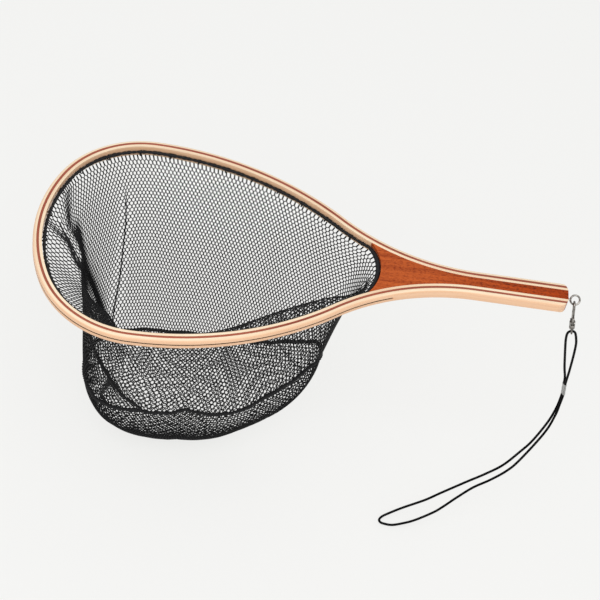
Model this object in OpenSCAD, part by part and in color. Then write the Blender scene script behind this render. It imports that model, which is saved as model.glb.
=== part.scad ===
// Hand landing net: a bent laminated wood hoop and handle, a laced netting bag and a clip-on wrist lanyard.
// Origin at the middle of the grip, +X towards the butt, +Z up out of the mouth. Millimetres.

/* [Frame] */
// Overall width of the hoop across its outer faces
hoop_width = 287; // [240:1:330]
// Radius of the hoop's long sides, along the middle strip
side_radius = 368; // [320:1:420]
// Distance of the shoulder bends' centres from the axis
shoulder_spread = 27.3; // [15:0.1:36]
// How much larger the tip's bend is than the shoulder bends
tip_flatness = 63; // [45:1:90]
// Radius of the reverse bend from hoop to handle, along the middle strip
neck_radius = 263; // [230:1:300]
// Length of the straight stretch of the handle
grip_length = 106; // [90:1:150]
// Width of the handle across its outer faces
handle_width = 33; // [30:0.5:42]
// Thickness of the frame, top face to underside
frame_thickness = 15; // [12:0.5:20]
// Thickness of the inner pale strip
inner_strip_t = 3.2; // [2.5:0.1:5]
// Thickness of the red middle strip
middle_strip_t = 2.8; // [1.5:0.1:3.5]
// Thickness of the outer pale strip
outer_strip_t = 4; // [3.5:0.1:5]
// Radius of the outer strip's rounded edges
edge_radius = 3.4; // [1:0.1:3.4]
// Radius of the butt's corners, seen from above
butt_corner = 11; // [5:0.5:14]
// Glue line between the laminations
glue_line = 0.05; // [0.03:0.01:0.1]

/* [Throat] */
// Distance from the straight stretch to the core's hollow front, on the axis
throat_reach = 110; // [98:1:122]
// Radius of the core's hollow front
throat_radius = 58; // [50:1:75]

/* [Lacing] */
// Diameter of the lacing cord in the outer groove
lacing_d = 2; // [1.4:0.1:2.2]
// Room round the lacing cord in its groove and holes
lacing_clearance = 0.15; // [0.1:0.05:0.25]
// Diameter of the cord stitches that pass through the holes
stitch_d = 1.8; // [1.2:0.1:2]
// Distance between lacing holes along the middle strip
lacing_pitch = 32; // [26:1:45]
// Distance from the straight stretch to where the groove stops
groove_stop = 94; // [80:1:110]
// Diameter of the head rope that the netting hangs on
rope_d = 5; // [4:0.5:7]
// Drop of the head rope's centre below mid thickness
rope_drop = 1; // [0:0.1:1.2]
// Gap between the head rope and the wood
rope_gap = 0.3; // [0.2:0.05:0.5]

/* [Bag] */
// Depth of the bag, from the frame's top face to its lowest point
bag_depth = 345; // [300:1:390]
// Depth of the seam between side and bottom netting
seam_depth = 231; // [190:1:260]
// Rise of that seam at the handle end
seam_rise = 77; // [0:1:100]
// Length of the seam's outline along the handle's axis
seam_length = 279; // [240:1:310]
// Width of the seam's outline
seam_width = 126; // [110:1:190]
// Set-back of the seam's outline from the mouth at the tip
seam_setback = 54; // [30:1:80]
// Lean of the bag's lower part towards the near side
bag_lean = 20; // [0:1:30]
// Thickness of the netting wall
net_t = 2; // [1.5:0.1:3]
// Share of each netting cell that stays solid round its opening
net_border = 0.26; // [0.2:0.02:0.4]
// Diameter of the gathered seams
seam_d = 4; // [3:0.5:5]
// Gap between soft pieces that are sewn together
sewn_gap = 0.3; // [0.2:0.05:0.5]

/* [Screw eye] */
// Outside diameter of the screw eye's ring
eye_d = 13; // [11.5:0.5:16]
// Diameter of the screw eye's wire
eye_wire_d = 2.2; // [1.8:0.1:2.6]
// Length of the screw eye's shank inside the handle
eye_shank = 22; // [15:1:30]
// Gap between the ring and the butt
eye_gap = 3; // [0.5:0.1:5]
// Turn of the ring about the handle's axis
eye_turn = 45; // [0:1:60]
// Room round fixed pins and shanks
pin_clearance = 0.05; // [0.02:0.01:0.08]

/* [Clasp] */
// Lean of the hanging clasp away from the handle
clasp_lean = 10.5; // [0:0.5:15]
// Diameter of the hook's bar
hook_bar_d = 2.6; // [2.2:0.1:3]
// Width of the hook, between bar centres
hook_w = 8; // [7.5:0.1:10]
// Distance from the ring's wire to the top of the swivel barrel
hook_drop = 35; // [32:0.5:42]
// Gap between the hook and the ring's wire
hang_gap = 0.2; // [0.15:0.05:0.3]
// Length of the hook's nose below its bend
nose_length = 5.5; // [4:0.5:7]
// Width of the clasp body along the gate pin
body_w = 5; // [4.6:0.1:6]
// Diameter of the gate pin
gate_pin_d = 1.6; // [1.2:0.1:1.8]
// Diameter of the gate's bar
gate_bar_d = 2.4; // [2:0.1:2.6]
// Gap between the gate and the pieces round it
gate_gap = 0.3; // [0.2:0.05:0.4]
// Diameter of the swivel barrel
barrel_d = 6.8; // [6.6:0.1:8]
// Length of the swivel barrel
barrel_length = 8; // [7:0.5:10]
// Diameter of the swivel's stem
stem_d = 2.4; // [2:0.1:2.8]
// Outside diameter of the swivel's eye
swivel_eye_d = 9.4; // [9:0.1:11]
// Diameter of the swivel eye's wire
swivel_wire_d = 2.2; // [1.8:0.1:2.4]

/* [Lanyard] */
// Diameter of the lanyard cord
cord_d = 2.6; // [2:0.1:2.8]
// Length of the crimped ferrule
ferrule_length = 21; // [15:0.5:21]
// Wall of the crimped ferrule outside its cords
ferrule_wall = 0.6; // [0.4:0.1:1.2]

/* [Hidden] */
$fn = 48;
arc_fn = 240;
overlap = 1;

// Wood: offsets are measured from the middle strip's centre line, outwards
mid_face = middle_strip_t / 2;
outer_root = mid_face + glue_line;
outer_face = outer_root + outer_strip_t;
inner_root = mid_face + glue_line;
inner_face = inner_root + inner_strip_t;
half_t = frame_thickness / 2;
head_r = hoop_width / 2 - outer_face;
grip_y = handle_width / 2 - outer_face;
neck_x = -grip_length / 2;
butt_x = grip_length / 2;
neck_y = grip_y + neck_radius;
side_y = head_r - side_radius;
side_turn = acos((neck_y - side_y) / (side_radius + neck_radius));
hoop_x = neck_x - (side_radius + neck_radius) * sin(side_turn);
shoulder_r = head_r - shoulder_spread;
tip_r = shoulder_r + tip_flatness;
tip_turn = asin(shoulder_spread / tip_flatness);
tip_cx = hoop_x + tip_flatness * cos(tip_turn);
core_half = grip_y - inner_face - glue_line;
// Odd numbers, so that no lacing hole sits on the line between two flats
bend_steps = 7;
long_bend_steps = 15;
throat_x = neck_x - throat_reach;
throat_cx = throat_x - throat_radius;

// Lacing
groove_turn = asin(groove_stop / neck_radius);
groove_trace = 0.02;
groove_w = lacing_d + 2 * lacing_clearance;
lacing_u = outer_face - groove_w / 2;
hole_d = stitch_d + 2 * lacing_clearance;
rope_r = rope_d / 2;
rope_in = inner_face + rope_gap + rope_r;
rope_z = -rope_drop;
stitch_in = rope_in - sqrt(rope_r * rope_r - rope_drop * rope_drop) - sewn_gap;
stitch_out = lacing_u - lacing_d / 2 - lacing_clearance;

// Bag
bag_in = rope_in - net_t / 2;
bag_top_z = rope_z - rope_r - sewn_gap;
seam_z = half_t - seam_depth;
floor_z = half_t - bag_depth;
mouth_tip_x = tip_cx - tip_r + bag_in;
mouth_end_x = throat_x - (bag_in - inner_face);
seam_tip_x = mouth_tip_x + seam_setback;
seam_scale_x = seam_length / (mouth_end_x - mouth_tip_x);
seam_scale_y = seam_width / (2 * (head_r - bag_in));
rise_from_x = hoop_x;
keel_share = 0.41;
keel_x = seam_tip_x + seam_length * keel_share;
keel_power = 1;
wall_power = 0.5;
ring_power = 1.5;
wall_rings = 5;
bottom_rings = 5;
open_bottom_rings = 3;
cell_steps = 2;
tip_steps = 5;
shoulder_steps = 9;
side_steps = 8;
neck_steps = 6;
throat_steps = 5;
half_steps = tip_steps + shoulder_steps + side_steps + neck_steps + throat_steps;
sewn_r = seam_d / 2 + sewn_gap;
side_seam_top = 2;
side_seam_foot = -14;

// Screw eye and clasp: the clasp is drawn hanging from the ring's wire at [0, 0, 0]
eye_wire_r = eye_wire_d / 2;
eye_r = eye_d / 2 - eye_wire_r;
eye_x = butt_x + eye_gap + eye_d / 2;
hook_at = [eye_x, -eye_r * sin(eye_turn), -eye_r * cos(eye_turn)];
hook_bar_r = hook_bar_d / 2;
hook_r = hook_w / 2;
bend_z = eye_wire_r + hang_gap - (hook_r - hook_bar_r);
nose_z = bend_z - nose_length;
barrel_z = -hook_drop;
shoulder_t = 3;
shoulder_z = barrel_z + shoulder_t;
knuckle_wall = 1.1;
knuckle_r = gate_pin_d / 2 + knuckle_wall;
pivot_z = shoulder_z + knuckle_r + gate_gap;
ear_t = 0.8;
ear_x = body_w / 2 - ear_t;
ear_gap = 0.2;
knuckle_w = ear_x - ear_gap;
lug_rise = 12;
lug_z = pivot_z + lug_rise;
lug_r = 1.3;
lug_length = 2.4;
barrel_r = barrel_d / 2;
barrel_floor = 2;
head_t = 1.5;
head_gap = 0.25;
stem_r = stem_d / 2;
stem_lip = 1;
stem_head_r = stem_r + stem_lip;
barrel_foot = barrel_z - barrel_length;
head_z = barrel_foot + barrel_floor + head_gap;
swivel_wire_r = swivel_wire_d / 2;
swivel_r = swivel_eye_d / 2 - swivel_wire_r;
swivel_gap = 1;
swivel_z = barrel_foot - swivel_gap - swivel_eye_d / 2;
spring_wire = 0.4;
spring_room = 0.5;
spring_r = gate_pin_d / 2 + spring_room;
spring_turns = 2.5;
spring_end_gap = 0.35;
spring_sides = 6;

// Lanyard
cord_r = cord_d / 2;
cord_sides = 8;
strand_gap = 0.4;
strand_y = (cord_d + strand_gap) / 2;
ferrule_at = [91, -3.8, -177];
small_loop_normal = [0, 1, 0];
small_loop_route = [
    [91, -2.3, -155.6], [88.4, -2.5, -144], [82.5, -2.8, -125], [75, -3.2, -96], [70.5, -3.6, -74],
    [69.2, -3.8, -62], [69.3, -3.8, -56], [69.9, -3.8, -53.8], [71.5, -3.8, -52.6], [73.6, -3.8, -53.1],
    [74.8, -3.8, -55], [78.5, -3.9, -61], [83, -4.2, -75.5], [85.5, -4.6, -96], [88, -5, -127],
    [90, -5.2, -143], [91, -5.3, -155.6]
];
wrist_loop_normal = [0.15, 0.58, -0.8];
wrist_loop_route = [
    [91, -2.3, -177.6], [90.6, -6, -186], [89, -12.5, -196.5], [81.5, -26, -209], [66.5, -44, -227.5],
    [40, -64, -251.5], [9, -77.5, -270], [-49, -99, -303.5], [-92, -113, -326.5], [-100.5, -116, -332],
    [-102, -119, -335], [-98, -122, -336], [-88, -124.5, -335], [-56, -118.5, -323], [-24, -103, -301.5],
    [14.5, -84, -274.5], [56, -61.5, -244.5], [79, -37, -218], [88.5, -21, -201], [90.4, -11.5, -189],
    [91, -5.3, -177.6]
];

// Colours
ash = [0.93, 0.76, 0.58];
red_stain = [0.62, 0.25, 0.17];
mahogany = [0.60, 0.24, 0.08];
black = [0.08, 0.08, 0.08];
steel = [0.72, 0.72, 0.70];
nickel = [0.60, 0.58, 0.54];

// Small helpers
function mix(a, b, t) = a + (b - a) * t;
function unit(v) = v / norm(v);
function last(v) = v[len(v) - 1];

// Points of a circular bend about c, from one angle to another without the last
function bend(c, r, from, to, steps) =
    [for (i = [0 : steps - 1]) let (a = mix(from, to, i / steps)) c + r * [cos(a), sin(a)]];

// The far half of a line set out by o from the middle strip's centre line: from the tip to the groove's end
function half_hoop(o) = concat(
    bend([tip_cx, 0], tip_r + o, 180, 180 - tip_turn, bend_steps),
    bend([hoop_x, shoulder_spread], shoulder_r + o, 180 - tip_turn, 90, long_bend_steps),
    bend([hoop_x, side_y], side_radius + o, 90, 90 - side_turn, long_bend_steps),
    bend([neck_x, neck_y], neck_radius - o, 270 - side_turn, 270 - groove_turn, bend_steps)
);

// The same line from the end of the groove to the butt
function half_handle(o) = concat(
    bend([neck_x, neck_y], neck_radius - o, 270 - groove_turn, 270, bend_steps),
    [[neck_x, grip_y + o], [butt_x, grip_y + o]]
);

// A whole line from its far half: up the near side, round the tip and down the far side
function both_halves(half) =
    concat([for (i = [len(half) - 1 : -1 : 1]) [half[i].x, -half[i].y]], half);
function strip_line(o) = both_halves(concat(half_hoop(o), half_handle(o)));
function reversed(v) = [for (i = [len(v) - 1 : -1 : 0]) v[i]];

// A strip of square section between two lines
module flat_strip(from, to) {
    translate([0, 0, -half_t])
        linear_extrude(height = frame_thickness)
            polygon(concat(strip_line(to), reversed(strip_line(from))));
}

// Sets its children at every lacing hole, with +X pointing outwards
module at_lacing_holes() {
    tip_count = 2 * floor(PI * tip_r * tip_turn / 180 / lacing_pitch);
    shoulder_count = floor(PI * shoulder_r * (90 - tip_turn) / 180 / lacing_pitch);
    side_count = floor(PI * side_radius * side_turn / 180 / lacing_pitch);
    last_turn = asin((neck_x - throat_tip(stitch_in).x + hole_d) / neck_radius);
    neck_count = floor(PI * neck_radius * (side_turn - last_turn) / 180 / lacing_pitch);
    translate([tip_cx, 0, 0])
        for (i = [0.5 : tip_count])
            rotate([0, 0, 180 + tip_turn * (2 * i / tip_count - 1)])
                translate([tip_r, 0, 0])
                    children();
    for (far = [0, 1])
        mirror([0, far, 0]) {
            translate([hoop_x, shoulder_spread, 0])
                for (i = [0.5 : shoulder_count])
                    rotate([0, 0, 90 + (90 - tip_turn) * i / shoulder_count])
                        translate([shoulder_r, 0, 0])
                            children();
            translate([hoop_x, side_y, 0])
                for (i = [0.5 : side_count])
                    rotate([0, 0, 90 - side_turn * i / side_count])
                        translate([side_radius, 0, 0])
                            children();
            translate([neck_x, neck_y, 0])
                for (i = [0.5 : neck_count])
                    rotate([0, 0, 270 - mix(side_turn, last_turn, i / neck_count)])
                        translate([neck_radius, 0, 0])
                            rotate([0, 0, 180])
                                children();
        }
}

module lacing_holes() {
    at_lacing_holes()
        rotate([0, 90, 0])
            cylinder(d = hole_d, h = 2 * (outer_face + overlap), center = true);
}

// The corners that the rounded butt takes off the handle
module butt_corners() {
    corner = butt_corner + overlap;
    for (far = [0, 1])
        mirror([0, far, 0])
            translate([butt_x - butt_corner, handle_width / 2 - butt_corner, -half_t - overlap])
                linear_extrude(height = frame_thickness + 2 * overlap)
                    difference() {
                        square(corner);
                        circle(r = butt_corner);
                    }
}

// The outer strip's section as [offset outwards, height], with rounded outer edges and a groove of some depth
function outer_section(depth) =
    let (flat = half_t - edge_radius, face = outer_face - edge_radius, g = groove_w / 2)
    concat(
        [[outer_root, -half_t]],
        [for (a = [-90 : 30 : 0]) [face + edge_radius * cos(a), -flat + edge_radius * sin(a)]],
        [[outer_face, -g], [outer_face - depth, -g], [outer_face - depth, g], [outer_face, g]],
        [for (a = [0 : 30 : 90]) [face + edge_radius * cos(a), flat + edge_radius * sin(a)]],
        [[outer_root, half_t]]
    );

module handle_core() {
    color(mahogany)
        difference() {
            translate([0, 0, -half_t])
                linear_extrude(height = frame_thickness)
                    core_outline();
            butt_corners();
            translate([butt_x - eye_shank, 0, 0])
                rotate([0, 90, 0])
                    cylinder(d = eye_wire_d + 2 * pin_clearance, h = eye_shank + overlap);
        }
}

// Seen from above: the wedge between the necks, hollowed at its front, and the straight grip
module core_outline() {
    face_r = neck_radius + inner_face + glue_line;
    translate([neck_x, -core_half])
        square([grip_length, 2 * core_half]);
    difference() {
        translate([throat_cx, -throat_radius])
            square([neck_x - throat_cx, 2 * throat_radius]);
        for (y = [-neck_y, neck_y])
            translate([neck_x, y])
                circle(r = face_r, $fn = arc_fn);
        translate([throat_cx, 0])
            circle(r = throat_radius, $fn = arc_fn);
        translate([throat_cx - overlap, -throat_radius - overlap])
            square([throat_tip(inner_face).x - throat_cx + overlap, 2 * (throat_radius + overlap)]);
    }
}

module inner_strip() {
    color(ash)
        difference() {
            flat_strip(-inner_face, -inner_root);
            butt_corners();
            lacing_holes();
        }
}

module middle_strip() {
    color(red_stain)
        difference() {
            flat_strip(-mid_face, mid_face);
            butt_corners();
            lacing_holes();
        }
}

// The groove runs round the hoop only; past its ends it is no more than a trace
module outer_strip() {
    deep = outer_section(groove_w);
    shallow = outer_section(groove_trace);
    n = len(deep);
    lines = [
        for (i = [0 : n - 1])
            both_halves(concat(half_hoop(deep[i].x), half_handle(shallow[i].x)))
    ];
    m = len(lines[0]);
    rings = [for (k = [0 : m - 1]) [for (i = [0 : n - 1]) [lines[i][k].x, lines[i][k].y, deep[i].y]]];
    ends = [for (k = [0, m - 1]) (rings[k][0] + rings[k][n - 1]) / 2 + [0, sign(rings[k][0].y) * overlap, 0]];
    color(ash)
        difference() {
            polyhedron(
                points = concat([for (ring = rings, p = ring) p], ends),
                faces = concat(
                    [for (k = [0 : m - 2]) each band(n * k, n * (k + 1), n)],
                    fan(0, n * m, n, true),
                    fan(n * (m - 1), n * m + 1, n, false)
                )
            );
            butt_corners();
            lacing_holes();
        }
}

module lacing_cord() {
    sides = 6;
    line = both_halves(half_hoop(lacing_u));
    color(black)
        tube([for (p = line) [p.x, p.y, 0]], [0, 0, 1], lacing_d / 2, sides);
}

module lacing_stitches() {
    color(black)
        at_lacing_holes()
            translate([-stitch_in, 0, 0])
                rotate([0, 90, 0])
                    cylinder(d = stitch_d, h = stitch_in + stitch_out);
}

module head_rope() {
    sides = 8;
    color(black)
        ring_tube([for (p = mouth(rope_in)) [p.x, p.y, rope_z]], [0, 0, 1], rope_r, sides);
}

// The corner where the neck meets the hollow front, both set in by d from the middle strip's centre line
function throat_tip(d) =
    let (a = [throat_cx, 0], b = [neck_x, neck_y])
    let (ra = throat_radius - (d - inner_face), rb = neck_radius + d, span = norm(b - a))
    let (along = (ra * ra - rb * rb + span * span) / (2 * span))
    let (across = sqrt(ra * ra - along * along), u = (b - a) / span)
    a + along * u + across * [u.y, -u.x];

// One side of the mouth's outline, from the tip to the throat, set in by d
function half_mouth(d) =
    let (tip = throat_tip(d), throat_r = throat_radius - (d - inner_face))
    let (neck_end = asin((neck_x - tip.x) / (neck_radius + d)), throat_turn = atan2(tip.y, tip.x - throat_cx))
    concat(
        bend([tip_cx, 0], tip_r - d, 180, 180 - tip_turn, tip_steps),
        bend([hoop_x, shoulder_spread], shoulder_r - d, 180 - tip_turn, 90, shoulder_steps),
        bend([hoop_x, side_y], side_radius - d, 90, 90 - side_turn, side_steps),
        bend([neck_x, neck_y], neck_radius + d, 270 - side_turn, 270 - neck_end, neck_steps),
        bend([throat_cx, 0], throat_r, throat_turn, 0, throat_steps),
        [[throat_cx + throat_r, 0]]
    );

// The whole outline: the far side from tip to throat, then the near side back
function mouth(d) =
    let (far = half_mouth(d))
    concat(far, [for (i = [half_steps - 1 : -1 : 1]) [far[i].x, -far[i].y]]);

// The bottom seam under a point of the mouth: its height, and the room it takes above and below,
// which is more where it climbs
function seam_climb(x) = max(0, (x - rise_from_x) / (mouth_end_x - rise_from_x));
function seam_height(x) = seam_z + seam_rise * pow(seam_climb(x), 3);
function seam_slope(x) = 3 * seam_rise * pow(seam_climb(x), 2) / (mouth_end_x - rise_from_x) / seam_scale_x;
function seam_room(x) = sewn_r * sqrt(1 + pow(seam_slope(x), 2));
function seam_under(x) = [seam_height(x), seam_room(x)];

// A point of the wall under the mouth's point p: t is 0 at the head rope and 1 at the seam's height h
function wall_point(p, t, h) =
    let (drawn_in = pow(t, wall_power))
    [
        mix(p.x, seam_tip_x + (p.x - mouth_tip_x) * seam_scale_x, drawn_in),
        mix(p.y, p.y * seam_scale_y - bag_lean, drawn_in),
        mix(bag_top_z, h, t)
    ];

// Where the wall stops short of the bottom seam, and where the bottom starts below it
function wall_foot(seam) = 1 - seam[1] / (bag_top_z - seam[0]);
function bottom_rim(seam) = asin(pow(seam[1] / (seam[0] - floor_z), 1 / keel_power)) / 90;

// A point of the bottom under the mouth's point p: t is 0 at the seam's height h and 1 at the lowest point
function bottom_point(p, t, h, lift) =
    let (rim = wall_point(p, 1, h))
    let (keel = [keel_x, -bag_lean, floor_z + lift], spread = pow(cos(90 * t), keel_power))
    let (sink = pow(sin(90 * t), keel_power))
    [mix(keel.x, rim.x, spread), mix(keel.y, rim.y, spread), mix(rim.z, keel.z, sink)];

// Triangles between two rings of n points, first and next being the rings' first indices
function band(first, next, n) = [
    for (i = [0 : n - 1], half = [0, 1]) let (k = (i + 1) % n)
        half == 0 ? [first + i, next + i, next + k] : [first + i, next + k, first + k]
];

// Triangles from a ring of n points to one point
function fan(first, tip, n, flip) = [
    for (i = [0 : n - 1]) let (k = (i + 1) % n)
        flip ? [first + k, tip, first + i] : [first + i, tip, first + k]
];

function quad(a, b, c, d) = [[a, b, c], [a, c, d]];

// Indices round cell number c of the band between two rings of n points: along the first ring,
// then back along the next
function cell_round(first, next, c, n) = concat(
    [for (k = [0 : cell_steps]) first + (cell_steps * c + k) % n],
    [for (k = [cell_steps : -1 : 0]) next + (cell_steps * c + k) % n]
);

// The corners of a cell's opening: the points round the cell, drawn towards the middle of its four corners
function opening(points, cell) =
    let (m = cell_steps, ends = [cell[0], cell[m], cell[m + 1], last(cell)])
    let (middle = (points[ends[0]] + points[ends[1]] + points[ends[2]] + points[ends[3]]) / len(ends))
    [for (i = cell) mix(points[i], middle, net_border)];

// A sheet of netting. Its rings of points run down one face, over an edge in the middle of the list and back
// up the other face. In the rows next to that edge, every cell has an opening straight through the sheet.
// The last rings close on tips, one for each face, or on each other where there are no tips.
module netted(rings, rows, tips) {
    n = len(rings[0]);
    count = len(rings);
    edge = count / 2 - 1;
    cells = n / cell_steps;
    sides = 2 * (cell_steps + 1);
    points = concat([for (ring = rings, p = ring) p], tips);
    open_bands = [for (j = [edge - rows : edge + rows]) if (j != edge) j];
    rounds = [for (j = open_bands, c = [0 : cells - 1]) cell_round(n * j, n * (j + 1), c, n)];
    first = len(points);
    closed_bands = [for (j = [0 : count - 2]) if (j == edge || abs(j - edge) > rows) j];
    closed = [for (j = closed_bands) each band(n * j, n * (j + 1), n)];
    frames = [
        for (q = [0 : len(rounds) - 1], k = [0 : sides - 1])
            let (next = (k + 1) % sides, at = first + sides * q)
            each quad(rounds[q][next], rounds[q][k], at + k, at + next)
    ];
    throughs = [
        for (row = [0 : rows - 1], c = [0 : cells - 1], k = [0 : sides - 1])
            let (next = (k + 1) % sides, at = first + sides * (row * cells + c))
            let (back = first + sides * ((2 * rows - 1 - row) * cells + c) + sides - 1)
            each quad(at + next, at + k, back - k, back - next)
    ];
    ends = len(tips) == 0 ? band(n * (count - 1), 0, n) :
        concat(fan(0, n * count, n, true), fan(n * (count - 1), n * count + 1, n, false));
    polyhedron(
        points = concat(points, [for (cell = rounds) each opening(points, cell)]),
        faces = concat(closed, frames, throughs, ends)
    );
}

// A point of the wall on its ring number j, closer together at the top, where the wall bends
function ring_depth(j, seam) = wall_foot(seam) * pow(j / wall_rings, ring_power);
function wall_ring_point(p, j, seam) = wall_point(p, ring_depth(j, seam), seam[0]);

module bag_side_netting() {
    outer = mouth(bag_in);
    inner = mouth(bag_in + net_t);
    seam = [for (p = mouth(bag_in + net_t / 2)) seam_under(p.x)];
    n = len(outer);
    rings = concat(
        [for (j = [0 : wall_rings]) [for (i = [0 : n - 1]) wall_ring_point(outer[i], j, seam[i])]],
        [for (j = [wall_rings : -1 : 0]) [for (i = [0 : n - 1]) wall_ring_point(inner[i], j, seam[i])]]
    );
    color(black)
        netted(rings, wall_rings, []);
}

module bag_bottom_netting() {
    outer = mouth(bag_in);
    inner = mouth(bag_in + net_t);
    seam = [for (p = mouth(bag_in + net_t / 2)) seam_under(p.x)];
    n = len(outer);
    m = bottom_rings;
    rims = [for (hem = seam) bottom_rim(hem)];
    rings = concat(
        [for (j = [m - 1 : -1 : 0])
            [for (i = [0 : n - 1]) bottom_point(inner[i], mix(rims[i], 1, j / m), seam[i][0], net_t)]],
        [for (j = [0 : m - 1])
            [for (i = [0 : n - 1]) bottom_point(outer[i], mix(rims[i], 1, j / m), seam[i][0], 0)]]
    );
    keel = [[keel_x, -bag_lean, floor_z + net_t], [keel_x, -bag_lean, floor_z]];
    color(black)
        netted(rings, open_bottom_rings, keel);
}

// Rounds off a route: a curve through every point, cut into steps between each two
function smooth_route(route, steps) = concat(
    [for (i = [0 : len(route) - 2], k = [0 : steps - 1])
        let (a = route[max(i - 1, 0)], b = route[i], c = route[i + 1], d = route[min(i + 2, len(route) - 1)])
        let (t = k / steps)
        let (bow = 2 * a - 5 * b + 4 * c - d, sway = 3 * b - a - 3 * c + d)
        (2 * b + (c - a) * t + bow * t * t + sway * t * t * t) / 2],
    [last(route)]
);

// A ring of points round p, square to the direction along
function tube_ring(p, along, normal, r, sides) =
    let (across = unit(cross(along, normal)), up = unit(cross(across, along)))
    [for (i = [0 : sides - 1]) let (a = 360 * i / sides) p + r * (cos(a) * across + sin(a) * up)];

// A tube along an open route that lies roughly in the plane square to normal
module tube(route, normal, r, sides) {
    m = len(route);
    rings = [
        for (i = [0 : m - 1])
            tube_ring(route[i], unit(route[min(i + 1, m - 1)] - route[max(i - 1, 0)]), normal, r, sides)
    ];
    polyhedron(
        points = concat([for (ring = rings, p = ring) p], [route[0], last(route)]),
        faces = concat(
            [for (j = [0 : m - 2]) each band(sides * (j + 1), sides * j, sides)],
            fan(0, sides * m, sides, false),
            fan(sides * (m - 1), sides * m + 1, sides, true)
        )
    );
}

// A closed tube along a route that comes back to its start
module ring_tube(route, normal, r, sides) {
    m = len(route);
    rings = [
        for (i = [0 : m - 1])
            tube_ring(route[i], unit(route[(i + 1) % m] - route[(i + m - 1) % m]), normal, r, sides)
    ];
    polyhedron(
        points = [for (ring = rings, p = ring) p],
        faces = [for (j = [0 : m - 1]) each band(sides * ((j + 1) % m), sides * j, sides)]
    );
}

module bag_bottom_seam() {
    sides = 6;
    color(black)
        ring_tube(
            [for (p = mouth(bag_in + net_t / 2)) wall_point(p, 1, seam_height(p.x))],
            [0, 0, 1], seam_d / 2, sides
        );
}

// A point part of the way from one point of a closed outline to the next
function outline_at(outline, k) =
    let (n = len(outline), i = floor(k))
    mix(outline[(n + i) % n], outline[(n + i + 1) % n], k - i);

// A point of the side netting's closing seam on the wall's ring number j, far enough outside the wall to
// clear it where the wall draws in; k counts round the mouth's outline
function side_seam_point(j, k) =
    let (drawn_in = pow(ring_depth(j, seam_under(seam_tip_x)), wall_power))
    let (shrink = mix(1, min(seam_scale_x, seam_scale_y), drawn_in))
    let (outline = mouth(bag_in - (sewn_r + 2 * sewn_gap) / shrink), p = outline_at(outline, k))
    wall_ring_point(p, j, seam_under(p.x));

// The closing seam, from the head rope at the tip to the near side of the bottom seam: straight from ring
// to ring of the wall, and cut finely enough to go round with it
module bag_side_seam() {
    sides = 6;
    cuts = 4;
    top_cut = 2;
    last_cut = wall_rings * cuts - 1;
    route = [
        for (i = [top_cut : last_cut])
            let (j = floor(i / cuts), k = mix(side_seam_top, side_seam_foot, i / (wall_rings * cuts)))
            mix(side_seam_point(j, k), side_seam_point(j + 1, k), i / cuts - j)
    ];
    color(black)
        tube(route, [0, 1, 0], seam_d / 2, sides);
}

module screw_eye() {
    color(steel) {
        translate([butt_x - eye_shank, 0, 0])
            rotate([0, 90, 0])
                cylinder(r = eye_wire_r, h = eye_shank + eye_gap + eye_wire_r);
        translate([eye_x, 0, 0])
            rotate([90 - eye_turn, 0, 0])
                rotate_extrude()
                    translate([eye_r, 0])
                        circle(r = eye_wire_r);
    }
}

// Hangs its children from the ring, leaning away from the handle
module hang() {
    translate(hook_at)
        rotate([0, -clasp_lean, 0])
            children();
}

// A bar along X through the gate's pivot
module along_pin(r, from, to) {
    translate([from, -hook_r, pivot_z])
        rotate([0, 90, 0])
            cylinder(r = r, h = to - from);
}

module clasp_hook() {
    color(nickel)
        hang()
            difference() {
                union() {
                    hook_bar();
                    translate([0, 0, barrel_foot])
                        cylinder(r = barrel_r, h = barrel_length + shoulder_t);
                    translate([-body_w / 2, -hook_r - knuckle_r, barrel_z])
                        cube([body_w, 2 * hook_r + knuckle_r + hook_bar_r, shoulder_t]);
                    for (x = [-body_w / 2, ear_x]) {
                        along_pin(knuckle_r, x, x + ear_t);
                        translate([x, -hook_r - knuckle_r, barrel_z])
                            cube([ear_t, 2 * knuckle_r, pivot_z - barrel_z]);
                    }
                }
                along_pin(gate_pin_d / 2 + pin_clearance, -body_w, body_w);
                swivel_cavity();
            }
}

// The bent bar of the hook: spine, bend and nose
module hook_bar() {
    translate([0, 0, bend_z])
        rotate([0, 90, 0])
            rotate([0, 0, 90])
                rotate_extrude(angle = 180)
                    translate([hook_r, 0])
                        circle(r = hook_bar_r);
    translate([0, hook_r, barrel_z])
        cylinder(r = hook_bar_r, h = bend_z - barrel_z);
    translate([0, -hook_r, nose_z])
        cylinder(r = hook_bar_r, h = bend_z - nose_z);
}

// The room inside the barrel that the swivel's stem and head turn in
module swivel_cavity() {
    translate([0, 0, barrel_foot - overlap])
        cylinder(r = stem_r + pin_clearance, h = barrel_floor + 2 * overlap);
    translate([0, 0, barrel_foot + barrel_floor])
        cylinder(r = stem_head_r + head_gap, h = head_t + 2 * head_gap);
}

module clasp_gate() {
    bar_r = gate_bar_d / 2;
    neck_z = pivot_z + knuckle_r + gate_gap;
    color(nickel)
        hang()
            difference() {
                union() {
                    along_pin(knuckle_r - gate_gap, -knuckle_w, 0);
                    translate([-knuckle_w, -hook_r - bar_r, pivot_z])
                        cube([knuckle_w, gate_bar_d, neck_z - pivot_z + overlap]);
                    translate([0, -hook_r, neck_z])
                        cylinder(r = bar_r, h = nose_z - gate_gap - neck_z);
                    translate([0, -hook_r, lug_z])
                        rotate([90, 0, 0])
                            cylinder(r = lug_r, h = bar_r + lug_length);
                    translate([0, -hook_r - bar_r - lug_length, lug_z])
                        sphere(r = lug_r);
                }
                along_pin(gate_pin_d / 2 + pin_clearance, -body_w, body_w);
            }
}

module gate_pin() {
    color(steel)
        hang()
            along_pin(gate_pin_d / 2, -body_w / 2, body_w / 2);
}

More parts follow.
